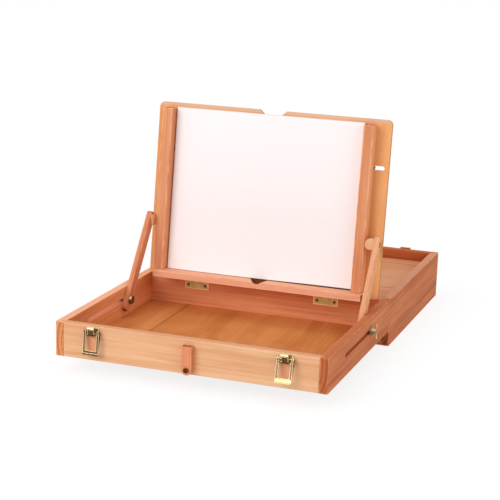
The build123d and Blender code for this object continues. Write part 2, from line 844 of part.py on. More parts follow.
# ------------------------------------------------------------------ prop leg
with BuildPart() as prop_leg:
    with BuildSketch(leg_screw_place.offset(side_clearance)):
        with Locations((0, leg_length / 2)):
            Rectangle(leg_width, leg_length)
        Circle(leg_width / 2)
    extrude(amount=leg_thickness)
    with BuildSketch(leg_screw_place):
        Circle(leg_screw_radius + pin_clearance)
    extrude(amount=side_clearance + leg_thickness, mode=Mode.SUBTRACT)
finish(prop_leg, "prop_leg")

leg_head_start = leg_thickness + 2 * side_clearance
with BuildPart() as leg_screw:
    with BuildSketch(leg_screw_place.offset(-leg_screw_length)):
        Circle(leg_screw_radius)
    extrude(amount=leg_screw_length + leg_head_start)
    with BuildSketch(leg_screw_place.offset(leg_head_start)):
        Circle(leg_screw_head_radius)
    extrude(amount=leg_screw_head_height)
finish(leg_screw, "leg_screw")

# --------------------------------------------------------- deep tray fittings
# The palette lifts out; it lies on two runners and on the dividers.
palette_low = rim_z - palette_drop - palette_thickness
inside_front = deep_front_y + wall
inside_rear = deep_back_y - wall
palette_length = inside_rear - inside_front - 2 * palette_end_gap
with BuildPart() as palette:
    with BuildSketch(Plane.XY.offset(palette_low)):
        Rectangle(2 * (inner_half - palette_side_gap), palette_length)
        with Locations((palette_hole_inset - inner_half, 0)):
            Ellipse(palette_hole_radius, palette_hole_stretch * palette_hole_radius, mode=Mode.SUBTRACT)
    extrude(amount=palette_thickness)
finish(palette, "palette")

runner_low = palette_low - side_clearance - runner_height
inside_depth = inside_rear - inside_front
with BuildPart() as palette_runners:
    with BuildSketch(Plane.XY.offset(runner_low)):
        for way in (-1, 1):
            with Locations((way * (inner_half - runner_width / 2), 0)):
                Rectangle(runner_width, inside_depth)
    extrude(amount=runner_height)
finish(palette_runners, "palette_runners")

# Dividers stand on the floor; the long one is notched under the runners.
divider_height = palette_low - side_clearance - floor_thickness
long_divider_y = inside_front + long_divider_place * inside_depth
with BuildPart() as divider_long:
    with BuildSketch(Plane.XY.offset(floor_thickness)):
        with Locations((0, long_divider_y)):
            Rectangle(2 * inner_half, divider_thickness)
    extrude(amount=divider_height)
    add(palette_runners.part, mode=Mode.SUBTRACT)
finish(divider_long, "divider_long")

short_front = long_divider_y + divider_thickness / 2
with BuildPart() as dividers_short:
    with BuildSketch(Plane.XY.offset(floor_thickness)):
        for x in (-short_divider_spacing / 2, short_divider_spacing / 2):
            with Locations((x, (short_front + inside_rear) / 2)):
                Rectangle(divider_thickness, inside_rear - short_front)
    extrude(amount=divider_height)
finish(dividers_short, "dividers_short")
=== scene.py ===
import json
import math

import bmesh
import bpy
from mathutils import Matrix, Vector

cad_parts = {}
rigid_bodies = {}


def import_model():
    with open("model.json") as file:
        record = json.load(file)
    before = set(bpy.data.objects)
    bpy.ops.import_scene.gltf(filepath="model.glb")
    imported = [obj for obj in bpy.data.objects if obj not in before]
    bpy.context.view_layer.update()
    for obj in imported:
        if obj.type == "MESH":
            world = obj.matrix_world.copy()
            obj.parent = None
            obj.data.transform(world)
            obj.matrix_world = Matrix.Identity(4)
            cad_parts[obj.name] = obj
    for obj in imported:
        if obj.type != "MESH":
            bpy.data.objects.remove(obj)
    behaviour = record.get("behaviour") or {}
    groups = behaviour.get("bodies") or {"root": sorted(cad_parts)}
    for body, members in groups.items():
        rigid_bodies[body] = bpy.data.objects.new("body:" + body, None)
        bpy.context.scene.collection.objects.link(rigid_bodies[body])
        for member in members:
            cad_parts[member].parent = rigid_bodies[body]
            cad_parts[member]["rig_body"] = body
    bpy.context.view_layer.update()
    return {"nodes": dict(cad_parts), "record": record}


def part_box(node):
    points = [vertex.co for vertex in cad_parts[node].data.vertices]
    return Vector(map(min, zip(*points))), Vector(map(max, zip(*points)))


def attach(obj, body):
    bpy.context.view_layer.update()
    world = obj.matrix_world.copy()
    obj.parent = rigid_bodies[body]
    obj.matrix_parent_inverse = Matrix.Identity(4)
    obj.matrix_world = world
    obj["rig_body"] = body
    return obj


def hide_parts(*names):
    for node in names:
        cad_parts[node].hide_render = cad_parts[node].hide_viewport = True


# Folding painter's box, dressed for its finish: varnished timber, veneered
# plywood, brass fittings and a primed board. Metres, except where a comment
# says mm. X runs across the box, -Y is the painter's side, +Z is up.

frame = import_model()
nodes = frame["nodes"]
slots = {part["node"]: part["material_slot"] for part in frame["record"]["subparts"]}

SIDES = ("left", "right")
ACROSS = Vector((1, 0, 0))
DEEPWAYS = Vector((0, 1, 0))
UPRIGHT = Vector((0, 0, 1))
LEAN = math.radians(7.0)
EASEL_AXIS = Vector((0, -0.1777, 0.0737))
EASEL_UP = Vector((0, math.sin(LEAN), math.cos(LEAN)))
EASEL_OUT = Vector((0, -math.cos(LEAN), math.sin(LEAN)))

# An arm's two ends, its clamp bolt and its upper pivot: y and z, in mm.
ARM_FOOT = (-275.532, 56.0)
ARM_HEAD = (-196.508, 166.685)
ARM_LINE = Vector((0, ARM_HEAD[0] - ARM_FOOT[0], ARM_HEAD[1] - ARM_FOOT[1]))

# The middles of the fittings that come in pairs, across the box.
LATCH_MIDDLES = (-0.1435, 0.1435)
TRAY_HINGE_MIDDLES = (-0.110, 0.110)
EASEL_HINGE_MIDDLES = (-0.111, 0.103)


# --------------------------------------------------------------- wiring nodes
class Wire:
    """A number on its way through a node tree; sums on it add Math nodes."""

    def __init__(self, bench, socket):
        self.bench = bench
        self.socket = socket

    def _sum(self, operation, *terms):
        return self.bench.node("ShaderNodeMath", {"operation": operation}, dict(enumerate(terms)))

    def __add__(self, other):
        return self._sum("ADD", self, other)

    def __radd__(self, other):
        return self._sum("ADD", other, self)

    def __sub__(self, other):
        return self._sum("SUBTRACT", self, other)

    def __rsub__(self, other):
        return self._sum("SUBTRACT", other, self)

    def __mul__(self, other):
        return self._sum("MULTIPLY", self, other)

    def __rmul__(self, other):
        return self._sum("MULTIPLY", other, self)

    def __truediv__(self, other):
        return self._sum("DIVIDE", self, other)

    def __rtruediv__(self, other):
        return self._sum("DIVIDE", other, self)

    def __pow__(self, other):
        return self._sum("POWER", self, other)

    def __abs__(self):
        return self._sum("ABSOLUTE", self)

    def smaller(self, other):
        return self._sum("MINIMUM", self, other)

    def larger(self, other):
        return self._sum("MAXIMUM", self, other)

    def floor(self):
        return self._sum("FLOOR", self)

    def wave(self):
        return self._sum("SINE", self)

    def root(self):
        return self._sum("SQRT", self)


class Bench:
    """A node tree being wired."""

    def __init__(self, tree):
        self.tree = tree
        tree.nodes.clear()

    def node(self, kind, settings=None, sockets=None, out=0):
        """Add a node: its settings first, then its sockets' values or links."""
        made = self.tree.nodes.new(kind)
        for name, value in (settings or {}).items():
            setattr(made, name, value)
        for key, value in (sockets or {}).items():
            if isinstance(value, Wire):
                self.tree.links.new(value.socket, made.inputs[key])
            else:
                made.inputs[key].default_value = value
        if out is None:
            return made
        return Wire(self, made.outputs[out])

    def split(self, vector):
        apart = self.node("ShaderNodeSeparateXYZ", sockets={0: vector}, out=None)
        return [Wire(self, socket) for socket in apart.outputs]

    def join(self, x, y, z):
        return self.node("ShaderNodeCombineXYZ", sockets={0: x, 1: y, 2: z})

    def cloud(self, x, y, z, detail, rough=0.5):
        """Soft noise from 0 to 1 at a place given in its own feature sizes."""
        return self.node(
            "ShaderNodeTexNoise",
            {"noise_dimensions": "3D"},
            {"Vector": self.join(x, y, z), "Scale": 1.0, "Detail": detail, "Roughness": rough},
        )

    def ramp(self, value, low, high, start=0.0, end=1.0):
        """Smooth step from start to end as value goes from low to high."""
        return self.node(
            "ShaderNodeMapRange",
            {"interpolation_type": "SMOOTHSTEP"},
            {"Value": value, "From Min": low, "From Max": high, "To Min": start, "To Max": end},
        )

    def blend(self, share, under, over):
        """Colour between under and over, on the Mix node's colour sockets."""
        return self.node(
            "ShaderNodeMix",
            {"data_type": "RGBA", "blend_type": "MIX", "clamp_factor": True},
            {0: share, 6: under, 7: over},
            out=2,
        )

    def relief(self, height, depth, strength, soften=0.0004):
        """Fine relief over edges that catch the light as if rounded."""
        rounded = self.node("ShaderNodeBevel", {"samples": 4}, {"Radius": soften})
        return self.node(
            "ShaderNodeBump",
            sockets={"Height": height, "Distance": depth, "Strength": strength, "Normal": rounded},
        )


def tint(red, green, blue):
    """Colour from its 0-255 screen values, by the sRGB curve."""
    shares = []
    for part in (red, green, blue):
        part = part / 255
        shares.append(part / 12.92 if part <= 0.04045 else ((part + 0.055) / 1.055) ** 2.4)
    return (*shares, 1.0)


def shade(colour, gain, lift=0.0):
    """A colour made deeper or paler."""
    return (*(min(1.0, part * gain + lift) for part in colour[:3]), 1.0)


def new_finish(name):
    finish = bpy.data.materials.new(name)
    finish.use_nodes = True
    return finish, Bench(finish.node_tree)


def close_finish(bench, **sockets):
    """The shader and the output; every socket is named with _ for its spaces."""
    named = {name.replace("_", " "): value for name, value in sockets.items()}
    shader = bench.node("ShaderNodeBsdfPrincipled", sockets=named)
    bench.node("ShaderNodeOutputMaterial", sockets={0: shader}, out=None)


# -------------------------------------------------------------------- colours
# Timbers and veneers: the pale wood and the ripe wood of each.
PEACH = (tint(236, 188, 146), tint(214, 150, 106))
CORAL = (tint(234, 160, 114), tint(200, 118, 74))
ROSE = (tint(240, 162, 110), tint(210, 126, 76))
# Painted shade: a darker copy of ROSE for the trays' right-hand sides.
RIGHT_SIDE_SHADE_WOOD = (tint(226, 140, 88), tint(184, 92, 48))
# Painted shade: a deeper red for the deep tray's rear board, which stands in the easel's shadow.
REAR_WALL_SHADE_WOOD = (tint(222, 128, 80), tint(182, 92, 52))
SHELL = (tint(246, 184, 148), tint(228, 156, 122))
# Painted shade: dark wood for the hollow of the ledge's scoop.
SCOOP_SHADE_WOOD = (tint(166, 88, 46), tint(112, 54, 26))
SALMON = (tint(232, 164, 122), tint(208, 130, 88))
COPPER = (tint(232, 156, 118), tint(182, 98, 60))
BLUSH = (tint(242, 182, 144), tint(198, 120, 80))
FAWN = (tint(230, 164, 116), tint(204, 130, 86))
CREAM = (tint(238, 186, 144), tint(212, 144, 100))
CLAY = (tint(226, 148, 108), tint(204, 120, 80))
SAND = (tint(232, 178, 134), tint(210, 146, 100))
HONEY = (tint(224, 148, 86), tint(190, 106, 50))
AMBER = (tint(238, 174, 116), tint(218, 146, 90))
APRICOT = (tint(248, 182, 132), tint(228, 148, 100))

# End grain, and the middle layer of plywood.
ROSE_END = tint(196, 108, 68)
PALE_END = tint(230, 146, 94)
RAIL_END = tint(168, 84, 48)
ARM_END = tint(164, 80, 50)
BLOCK_END = tint(226, 172, 130)
PLY_CORE = tint(158, 98, 58)

# Painted light and shade on single boards: their narrow long faces painted lit or
# shaded, a paler band along a head, and warm painted light under the latches.
NARROW_FACE_LIGHT_AND_SHADE = {
    "shallow_tray_front": tint(222, 158, 118),
    "deep_tray_front": tint(218, 152, 108),
    "shallow_tray_left": tint(255, 190, 152),
    "deep_tray_left": tint(255, 184, 142),
    "shallow_tray_right": tint(192, 110, 68),
    "deep_tray_right": tint(240, 176, 138),
    "rail_right": tint(250, 180, 128),
    "arm_right": tint(252, 180, 120),
}
PALE_HEAD = {"easel_board": tint(226, 184, 156)}
# Warm painted light on the wood under each latch, where its frame casts shade.
UNDER_LATCH_LIGHT = {"shallow_tray_front": tint(246, 162, 118)}

BRASS = tint(246, 230, 184)
# Dark brown for the brass's dull faces: partly real patina, partly painted dark reflection.
PATINA_AND_DARK_REFLECTION = tint(94, 58, 30)


# --------------------------------------------------------------------- timber
VARNISH_LEVEL = 0.07  # specular level of a thin satin varnish
RING = 0.0045  # spacing of the growth rings
SIDE_RING = 0.006  # and in the trays' sides
PITH_ACROSS, PITH_BEHIND = 0.012, 0.09  # centre of the rings, from a board's middle
PATCH_HALF, PATCH_FOOT, PATCH_TOP = 0.0092, -0.0135, 0.0150  # wood under a latch
PATCH_DEPTH = 0.002  # how far below the board's face the patch goes
PLY_LAYERS = 3


def lay_board(bench, piece, along, face):
    """Object coordinates and facing along a board's own axes, and its half sizes.

    The axes are along the grain, across it and out of the face, from the middle.
    """
    along = along.normalized()
    face = (face - along * face.dot(along)).normalized()
    turn = Matrix((along, face.cross(along), face))
    places = [turn @ point.co for point in nodes[piece].data.vertices]
    low = Vector([min(place[i] for place in places) for i in range(3)])
    high = Vector([max(place[i] for place in places) for i in range(3)])
    centre, half = (low + high) / 2, (high - low) / 2
    spin = tuple(turn.to_euler())
    place = bench.node("ShaderNodeTexCoord", out="Object")
    facing = bench.node("ShaderNodeTexCoord", out="Normal")
    moved = {"Vector": place, "Rotation": spin, "Location": tuple(-centre)}
    turned = {"Vector": facing, "Rotation": spin}
    place, facing = (
        bench.split(bench.node("ShaderNodeMapping", {"vector_type": "POINT"}, sockets))
        for sockets in (moved, turned)
    )
    return place, facing, half


def arris(x, y, z, half):
    """Distance from the nearest edge of a board with these half sizes."""
    dx = half.x - abs(x)
    dy = half.y - abs(y)
    dz = half.z - abs(z)
    return dx.smaller(dy).larger(dx.larger(dy).smaller(dz))


def latch_patches(x, y, z, half):
    """Above 0 in the two places on a front board that its latches cover."""
    beside = PATCH_HALF - abs(abs(x) - LATCH_MIDDLES[1])
    upright = beside.smaller(y - PATCH_FOOT).smaller(PATCH_TOP - y)
    return upright.smaller(z - half.z + PATCH_DEPTH)


def timber(name, piece, woods, end, along, face, seed, wear_and_highlight, ring=RING):
    """Varnished solid timber, its rings running along one board.

    woods are its pale and its ripe colour, and wear_and_highlight is how far its arrises are
    painted pale, from 0 to 1: partly rubbed wear, partly painted highlight. A number beside a
    coordinate in a cloud is how many of its features come to a metre.
    """
    finish, bench = new_finish(name)
    (x, y, z), (nx, ny, _), half = lay_board(bench, piece, along, face)
    pale, ripe = woods

    sway = bench.cloud(x * 5 + seed, y * 9, z * 9, 2.0) - 0.5
    bow = bench.cloud(x * 1.6 + seed * 3.1, seed * 1.7, 0.0, 1.0) - 0.5
    off_pith = y - PITH_ACROSS + sway * 0.012 + bow * 0.05
    deep_pith = z + PITH_BEHIND
    radius = (off_pith * off_pith + deep_pith * deep_pith).root()
    uneven = bench.cloud(radius * 110, seed, x * 0.8, 2.0)
    rings = (radius * (2 * math.pi / ring) + uneven * 9).wave() * 0.5 + 0.5
    rings = rings ** 1.8
    figure = bench.cloud(x * 7 + seed * 2.3, y * 38, z * 38, 3.0, 0.55)
    streak = bench.ramp(bench.cloud(x * 5 + seed, y * 290, z * 290, 2.0, 0.6), 0.34, 0.66)
    fibre = bench.cloud(x * 45 + seed, y * 1500, z * 1500, 2.0, 0.6)
    fleck = bench.ramp(bench.cloud(x * 300, y * 2300 + seed, z * 2300, 1.0), 0.66, 0.78)
    ripeness = (
        bench.ramp(figure, 0.3, 0.72) * 0.38 + rings * 0.22 + streak * 0.4 + fibre * 0.2 - 0.1
    )
    face_colour = bench.blend(ripeness, pale, ripe)
    face_colour = bench.blend(fleck * 0.3, face_colour, end)

    pores = bench.cloud(x * 60, y * 900 + seed, z * 900, 2.0)
    mottle = bench.cloud(x * 30, y * 130, z * 130 + seed, 3.0)
    end_share = bench.ramp(pores * 0.5 + mottle * 0.3 + rings * 0.35, 0.3, 0.85)
    end_colour = bench.blend(end_share, end, shade(end, 0.55))
    sawn = bench.ramp(abs(nx), 0.75, 0.95)
    colour = bench.blend(sawn, face_colour, end_colour)

    # Painted light: the wood under each latch is warmed against the frame's cast shade.
    if piece in UNDER_LATCH_LIGHT:
        latch_light_share = bench.ramp(latch_patches(x, y, z, half), -0.0012, 0.0016, 0.0, 0.6)
        colour = bench.blend(latch_light_share, colour, UNDER_LATCH_LIGHT[piece])
    # Narrow long faces: painted highlight, or painted shade on the shallow tray's right rim.
    if piece in NARROW_FACE_LIGHT_AND_SHADE:
        colour = bench.blend(bench.ramp(abs(ny), 0.75, 0.95, 0.0, 0.75), colour, NARROW_FACE_LIGHT_AND_SHADE[piece])
    # Arrises painted paler: partly rubbed wear, partly painted highlight.
    if wear_and_highlight:
        rub = bench.cloud(x * 55 + seed, y * 160, z * 160, 2.0)
        near = bench.ramp(arris(x, y, z, half), 0.0004, 0.0022, 1.0, 0.0)
        edge_tone = near * bench.ramp(rub, 0.38, 0.62) * wear_and_highlight
        colour = bench.blend(edge_tone, colour, shade(pale, 1.25, 0.03))

    close_finish(
        bench,
        Base_Color=colour,
        Roughness=0.5 + fibre * 0.1 + sawn * 0.16,
        Specular_IOR_Level=VARNISH_LEVEL,
        Normal=bench.relief(fibre * 0.7 + rings * 0.25 - fleck * 0.6, 0.00012, 0.5),
    )
    return finish


def plywood(name, piece, woods, along, face, seed, leaf_width, cut_off):
    """Veneered board: leaves side by side, and layers at its edge.

    cut_off is the share of the first leaf that is missing at the board's edge.
    """
    finish, bench = new_finish(name)
    (x, y, z), (_, _, nz), half = lay_board(bench, piece, along, face)
    pale, ripe = woods

    count = (y + half.y) / leaf_width + cut_off
    leaf = count.floor()
    within = count - leaf
    sway = bench.cloud(x * 4.5 + leaf * 7.3 + seed, y * 12, seed, 2.0) - 0.5
    flame = bench.cloud(x * 3.0 + seed, (y + sway * 0.09) * 24 + leaf * 3.7, seed, 3.0, 0.6)
    curl = bench.cloud(x * 22 + seed, y * 9 + leaf, seed, 2.0)
    streak = bench.cloud(x * 4, (y + sway * 0.03) * 240 + seed, leaf * 3.0, 2.0, 0.6)
    streak = bench.ramp(streak, 0.36, 0.64)
    fibre = bench.cloud(x * 40, (y + sway * 0.02) * 900 + seed, leaf * 5.0, 2.0, 0.6)
    ripeness = bench.ramp(flame, 0.3, 0.7) * 0.55 + bench.ramp(curl, 0.35, 0.7) * 0.2
    ripeness = ripeness + streak * 0.15 + fibre * 0.14 - 0.04
    colour = bench.blend(ripeness, pale, ripe)
    joint_line = bench.ramp(within.smaller(1 - within) * leaf_width, 0.0005, 0.0022, 1.0, 0.0)
    colour = bench.blend(joint_line * 0.85, colour, PLY_CORE)
    # Paler towards the board's top end.
    if piece in PALE_HEAD:
        head = bench.ramp(half.x - x, 0.002, 0.008, 0.8, 0.0)
        colour = bench.blend(head, colour, PALE_HEAD[piece])

    stripe = (z * (math.pi * PLY_LAYERS / (2 * half.z)) + math.pi / 2).wave()
    bands = bench.ramp(stripe, -0.25, 0.25)
    rough_cut = bench.cloud(x * 400, y * 400, z * 1500, 2.0)
    edge_colour = bench.blend(bands * 0.75 + rough_cut * 0.2, pale, PLY_CORE)
    cut = bench.ramp(abs(nz), 0.35, 0.6, 1.0, 0.0)
    colour = bench.blend(cut, colour, edge_colour)

    close_finish(
        bench,
        Base_Color=colour,
        Roughness=0.42 + fibre * 0.1 + cut * 0.22,
        Specular_IOR_Level=VARNISH_LEVEL,
        Normal=bench.relief(fibre + cut * rough_cut, 0.0001, 0.4),
    )
    return finish


# ---------------------------------------------------------------------- metal
def plate_border(x, z, middles, half, low, high):
    """How far a place lies inside the edges of two plates that hang side by side."""
    beside = abs(x - middles[0]).smaller(abs(x - middles[1]))
    return (half - beside).smaller(z - low).smaller(high - z)


def metal(
    name, bright, dull, shine, seed, level, edge=0.0008, crown=1.0, lit_below=None, plates=None
):
    """Metal painted bright on its edges and on top, and dull on its upright faces.

    level is how bright the upright faces are kept, their dull colour a painted dark
    reflection, and crown how bright the top is, a painted highlight, from 0 to 1. Edges
    are bright from wear and a painted highlight. lit_below is the height below which a
    painted highlight brightens it. plates are the middles, half width, foot and top of
    plates with bright borders.
    """
    finish, bench = new_finish(name)
    x, y, z = bench.split(bench.node("ShaderNodeTexCoord", out="Object"))
    _, _, nz = bench.split(bench.node("ShaderNodeTexCoord", out="Normal"))
    true = bench.node("ShaderNodeNewGeometry", out="True Normal")
    rounded = bench.node("ShaderNodeBevel", {"samples": 6}, {"Radius": edge})
    turned = bench.node(
        "ShaderNodeVectorMath", {"operation": "DOT_PRODUCT"}, {0: true, 1: rounded}, out="Value"
    )
    shine_and_wear = bench.ramp(1 - turned, 0.01, 0.12)
    tarnish = bench.ramp(bench.cloud(x * 150 + seed, y * 150, z * 150, 3.0, 0.6), 0.36, 0.66)
    lines = bench.cloud(x * 300, y * 300 + seed, z * 2600, 2.0)
    # Painted light: top-facing surfaces and edges brightened, upright faces left dull as a painted
    # dark reflection.
    polish_and_light = bench.ramp(nz, 0.15, 0.6) * crown + shine_and_wear
    polish_and_light = polish_and_light + level * (1 - tarnish * 0.6) + lines * 0.12 - 0.06
    # Painted highlight below this height.
    if lit_below:
        polish_and_light = polish_and_light + bench.ramp(z, lit_below, lit_below + 0.0008, 1.0, 0.0)
    if plates:
        polish_and_light = polish_and_light + bench.ramp(plate_border(x, z, *plates), 0.0009, 0.0022, 1.0, 0.0)
    polish_and_light = polish_and_light.smaller(1.0).larger(0.0)
    close_finish(
        bench,
        Base_Color=bench.blend(polish_and_light, dull, bright),
        Metallic=1.0,
        Specular_Tint=bright,
        Roughness=shine + (1 - polish_and_light) * 0.16 + lines * 0.06,
        Normal=bench.relief(lines + tarnish * 0.5, 0.00002, 0.4, edge * 0.5),
    )
    return finish


# --------------------------------------------------------------- primed board
THREAD = 0.0011  # spacing of the canvas's threads
WHITE_GROUND = (tint(249, 244, 245), tint(245, 239, 240))
# Painted light: white that offsets the wood's warm bounce low on the panel.
BOUNCE_OFFSET_WHITE = tint(252, 252, 255)
EDGE_GREY = tint(208, 186, 170)
# Painted shadow: the gap under the panel's foot.
FOOT_SHADOW_LINE = tint(72, 44, 32)
BARE_BACK = tint(176, 132, 98)


def primed_board():
    """White ground brushed over fine canvas, greyer along its arrises and bare behind; whiter low
    down as painted light against the wood's warm bounce, with a painted shadow line along its foot.
    """
    finish, bench = new_finish("primed_white_canvas")
    (x, y, z), (_, _, nz), half = lay_board(bench, "panel", ACROSS, EASEL_OUT)
    weft = (x * (2 * math.pi / THREAD)).wave()
    warp = (y * (2 * math.pi / THREAD)).wave()
    weave = weft * warp * 0.5 + 0.5
    brushed = bench.cloud(x * 18, y * 160, 4.0, 3.0)
    edge_tone = bench.ramp(arris(x, y, z, half), 0.0003, 0.0018, 1.0, 0.0)
    rise = y + half.y
    foot = bench.ramp(x, -0.06, 0.13, 0.0006, 0.0024) - rise
    colour = bench.blend(weave * 0.3 + brushed * 0.5, *WHITE_GROUND)
    # Painted light: whiter low down, offsetting the warm light bounced from the wood.
    colour = bench.blend(bench.ramp(rise, 0.0, 0.11, 0.85, 0.0), colour, BOUNCE_OFFSET_WHITE)
    # Greyer along the arrises.
    colour = bench.blend(edge_tone * 0.35, colour, EDGE_GREY)
    # Painted shadow: a dark line along the foot, widening to the right, where the panel stands off
    # the ledge.
    colour = bench.blend(bench.ramp(foot, -0.0003, 0.0003), colour, FOOT_SHADOW_LINE)
    back = bench.ramp(nz, -0.2, 0.3, 1.0, 0.0)
    colour = bench.blend(back * 0.8, colour, BARE_BACK)
    close_finish(
        bench,
        Base_Color=colour,
        Roughness=0.78 - brushed * 0.1,
        Normal=bench.relief(weave + brushed, 0.00008, 0.35),
    )
    return finish


# ------------------------------------------------------ finishes on the nodes
# Each board of solid timber: its wood, its end grain, the way its grain runs,
# its face, the number of its figure, how pale its arrises are painted (partly wear,
# partly painted highlight), and its rings' spacing where that isn't RING.
BOARDS = {
    "shallow_tray_front": (PEACH, ROSE_END, ACROSS, -DEEPWAYS, 3.0, 0.2),
    "shallow_tray_rear": (CORAL, ROSE_END, ACROSS, DEEPWAYS, 5.7, 0.2),
    # The left sides take ROSE and the right sides a darker copy of it: painted light and painted
    # shade.
    "shallow_tray_left": (ROSE, PALE_END, DEEPWAYS, -ACROSS, 8.3, 0.45, SIDE_RING),
    "shallow_tray_right": (RIGHT_SIDE_SHADE_WOOD, ROSE_END, DEEPWAYS, ACROSS, 10.2, 0.45, SIDE_RING),
    "deep_tray_front": (ROSE, ROSE_END, ACROSS, -DEEPWAYS, 11.0, 0.2),
    # painted shade: the rear board takes the deeper red
    "deep_tray_rear": (REAR_WALL_SHADE_WOOD, ROSE_END, ACROSS, DEEPWAYS, 13.7, 0.2),
    "deep_tray_left": (ROSE, PALE_END, DEEPWAYS, -ACROSS, 16.3, 0.8, SIDE_RING),
    "deep_tray_right": (RIGHT_SIDE_SHADE_WOOD, ROSE_END, DEEPWAYS, ACROSS, 18.2, 0.8, SIDE_RING),
    "ledge": (SHELL, ROSE_END, ACROSS, EASEL_OUT, 41.0, 0.45),
    "rail_left": (SALMON, RAIL_END, EASEL_UP, EASEL_OUT, 51.0, 0.9),
    "rail_right": (SALMON, RAIL_END, EASEL_UP, EASEL_OUT, 54.0, 0.9),
    "arm_left": (COPPER, ARM_END, ARM_LINE, -DEEPWAYS, 61.0, 0.45),
    "arm_right": (BLUSH, ARM_END, ARM_LINE, -DEEPWAYS, 64.0, 0.45),
    "pivot_block_left": (FAWN, BLOCK_END, EASEL_UP, EASEL_OUT, 71.0, 0.45),
    "pivot_block_right": (CREAM, BLOCK_END, EASEL_UP, EASEL_OUT, 74.0, 0.45),
    "prop_leg": (CLAY, ROSE_END, UPRIGHT, -DEEPWAYS, 81.0, 0.45),
    "palette_runners": (SAND, ROSE_END, DEEPWAYS, UPRIGHT, 91.0, 0.0),
    "divider_long": (SAND, ROSE_END, ACROSS, UPRIGHT, 92.0, 0.0),
    "dividers_short": (SAND, ROSE_END, DEEPWAYS, UPRIGHT, 93.0, 0.0),
}
# Dark wood on the scoop's faces: painted shade in the hollow under the panel's foot.
SCOOP_SHADE_BOARD = (SCOOP_SHADE_WOOD, ROSE_END, ACROSS, EASEL_OUT, 43.0, 0.0)

# Each veneered board: its wood, the way its grain runs, its face, the number of
# its figure, the width of a leaf, and the share of the first leaf cut off.
VENEERED = {
    "shallow_tray_floor": (HONEY, DEEPWAYS, UPRIGHT, 12.1, 0.3, 0.937),
    "deep_tray_floor": (HONEY, DEEPWAYS, UPRIGHT, 20.1, 0.3, 0.937),
    "easel_board": (AMBER, EASEL_UP, EASEL_OUT, 21.0, 0.24, 0.242),
    "palette": (APRICOT, ACROSS, UPRIGHT, 31.0, 0.16, 0.35),
}


def paint(name, *finishes):
    """Give a node its finish, and those that only its finer shape uses."""
    data = nodes[name].data
    data.materials.clear()
    for finish in finishes:
        data.materials.append(finish)


def dress_timber():
    for name, board in BOARDS.items():
        finishes = [timber(f"{name}_timber", name, *board)]
        if name == "ledge":
            finishes.append(timber("scoop_shade_timber", name, *SCOOP_SHADE_BOARD))
        paint(name, *finishes)
    for name, board in VENEERED.items():
        paint(name, plywood(f"{name}_veneer", name, *board))


def dress_metal():
    """Finish every fitting, and return the finishes that the trim shares."""
    bright = metal("polished_brass", BRASS, tint(206, 168, 100), 0.16, 5.0, level=0.8)
    # The levers and hooks keep their upright faces dark: partly patina, partly painted dark
    # reflection; the hooks' tops carry a painted highlight.
    dark = metal(
        "patina_dark_reflection_brass", BRASS, PATINA_AND_DARK_REFLECTION, 0.2, 7.0, edge=0.0004, level=0.05, crown=0.12
    )
    muted = metal(
        "muted_brass", tint(250, 230, 186), tint(206, 174, 124), 0.28, 19.0, level=0.7
    )
    # The right lever's foot below 0.0425 m carries a painted highlight.
    shine_and_wear = metal(
        "lit_foot_brass", BRASS, PATINA_AND_DARK_REFLECTION, 0.18, 7.0, edge=0.0004, level=0.05, lit_below=0.0425
    )
    patina_lit_top = metal(
        "patina_lit_top_brass", BRASS, PATINA_AND_DARK_REFLECTION, 0.2, 17.0, edge=0.0003, level=0.05, crown=0.85
    )
    plates = (EASEL_HINGE_MIDDLES, 0.020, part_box("easel_hinge_wall_leaves")[0].z, 0.0705)
    hinge = metal(
        "hinge_brass", tint(255, 244, 200), tint(186, 170, 104), 0.3, 9.0,
        edge=0.0011, level=0.25, plates=plates,
    )
    nut = metal(
        "nut_brass", tint(232, 212, 156), tint(96, 76, 42), 0.24, 11.0, level=0.15, crown=0.5
    )
    bronze = metal(
        "screw_bronze", tint(176, 138, 86), tint(78, 48, 26), 0.42, 15.0, level=0.05, crown=0.3
    )
    warm = metal(
        "pivot_bronze", tint(226, 166, 112), tint(190, 122, 74), 0.5, 15.0, level=0.2, crown=0.3
    )
    steel = metal(
        "plated_steel", tint(206, 198, 184), tint(116, 104, 90), 0.26, 13.0, level=0.3
    )
    families = (
        (("latch_lever_left",), dark),
        (("latch_lever_right",), shine_and_wear),
        (("latch_hook",), patina_lit_top),
        (("latch_bases", "keepers", "tray_hinge"), bright),
        (("easel_hinge",), hinge),
        (("clamp_nut", "wing_nut", "rail_knob"), nut),
        (("rail_bolt", "slot_bolt"), steel),
        (("pivot_screw",), warm),
        (("leg_screw",), bronze),
    )
    for starts, finish in families:
        for name in nodes:
            if name.startswith(starts):
                paint(name, finish)
    return bright, muted, bronze, nut


# -------------------------------------------------------------- making pieces
BEAD_SIDES = 8


def new_piece(name, data):
    piece = bpy.data.objects.new(name, data)
    bpy.context.scene.collection.objects.link(piece)
    return piece


def smooth(data, angle):
    """Smooth faces, with the edges over this many degrees kept sharp."""
    for face in data.polygons:
        face.use_smooth = True
    data.set_sharp_from_angle(angle=math.radians(angle))


def show(piece, body, slot, *replaced):
    """Tie a finished piece to its body and to the nodes that it stands for."""
    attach(piece, body)
    if replaced:
        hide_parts(*replaced)


def skin(shape, near, far):
    """Faces between two loops with as many points, in the points' order."""
    return [
        shape.faces.new((near[k], near[k - 1], far[k - 1], far[k])) for k in range(len(near))
    ]


def round_over(shape, edges, width):
    bmesh.ops.bevel(
        shape, geom=edges, offset=width, segments=3, profile=0.5, affect="EDGES", clamp_overlap=True
    )


def bead_ring(shape, centre, first, second, radius):
    return [
        shape.verts.new(centre + radius * (math.cos(a) * first + math.sin(a) * second))
        for a in (2 * math.pi * k / BEAD_SIDES for k in range(BEAD_SIDES))
    ]


